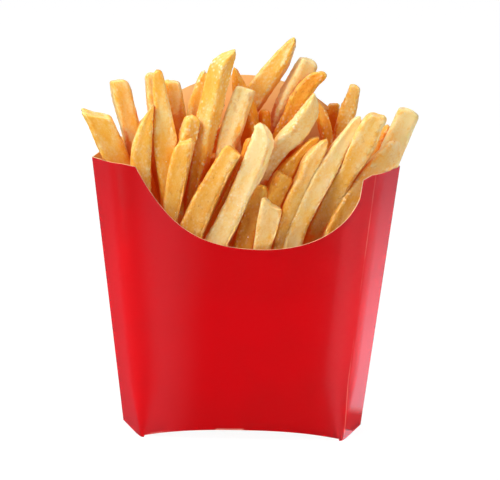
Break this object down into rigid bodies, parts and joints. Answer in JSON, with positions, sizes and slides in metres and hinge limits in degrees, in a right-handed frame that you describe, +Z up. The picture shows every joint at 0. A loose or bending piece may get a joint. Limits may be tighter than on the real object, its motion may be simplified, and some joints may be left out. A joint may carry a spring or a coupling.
{
  "type": "french fries in a carton",
  "caption": "Bundle of golden french fries standing in an open red paperboard scoop carton with a curved front edge, a domed back and creased sides.",
  "frame": {"origin": "middle of the whole object's footprint, on the surface that the carton stands on", "axes": "+Z up; the carton's front, with the scoop, faces -Y, and its domed back is at +Y; +X is to the right seen from the front"},
  "size_m": [0.1226, 0.044, 0.1433],
  "materials": {
    "red_board": "satin",
    "fried_potato": "satin"
  },
  "bodies": {
    "root": {"carton": "red_board", "fries": "fried_potato"}
  },
  "joints": []
}
